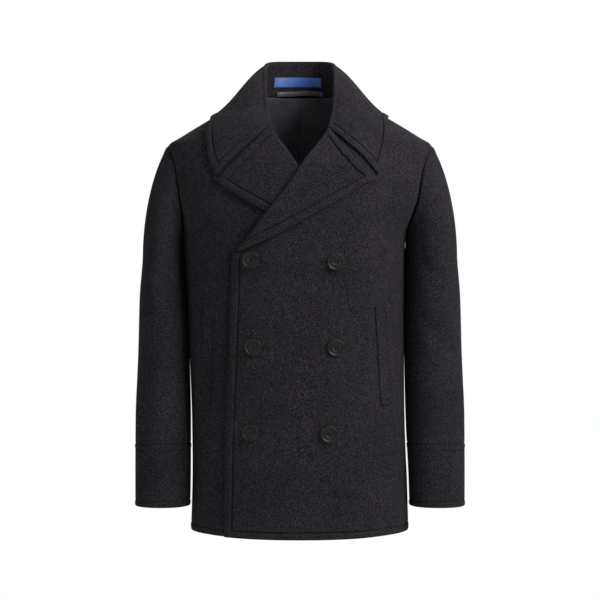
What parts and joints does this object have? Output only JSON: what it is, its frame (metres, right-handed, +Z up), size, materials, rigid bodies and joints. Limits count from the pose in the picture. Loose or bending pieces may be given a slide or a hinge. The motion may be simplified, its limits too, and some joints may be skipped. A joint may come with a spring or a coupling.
{
  "type": "pea coat",
  "caption": "Hip-length double-breasted wool coat with a wide notched collar, welt pockets and long sleeves, hanging hollow as worn.",
  "frame": {"origin": "the nape: the inside of the back neck seam at the centre back", "axes": "+Z up, -Y the front of the coat, +X the wearer's left"},
  "size_m": [0.588, 0.2807, 0.8559],
  "materials": {
    "wool": "matt heathered melton, charcoal",
    "lining": "dark satin",
    "label": "plain woven ribbon, blue",
    "loop": "grey satin tape",
    "horn": "low sheen, nearly black"
  },
  "bodies": {
    "root": {"front_left": "wool", "front_right": "wool", "back_left": "wool", "back_right": "wool", "sleeve_left": "wool", "sleeve_right": "wool", "cuff_left": "wool", "cuff_right": "wool", "lapel_left": "wool", "lapel_right": "wool", "collar": "wool", "pocket_welt_left": "wool", "pocket_welt_right": "wool", "lining_back": "lining", "neck_label": "label", "hanger_loop": "loop", "button_left_top": "horn", "button_left_middle": "horn", "button_left_bottom": "horn", "button_right_top": "horn", "button_right_middle": "horn", "button_right_bottom": "horn"}
  },
  "joints": []
}
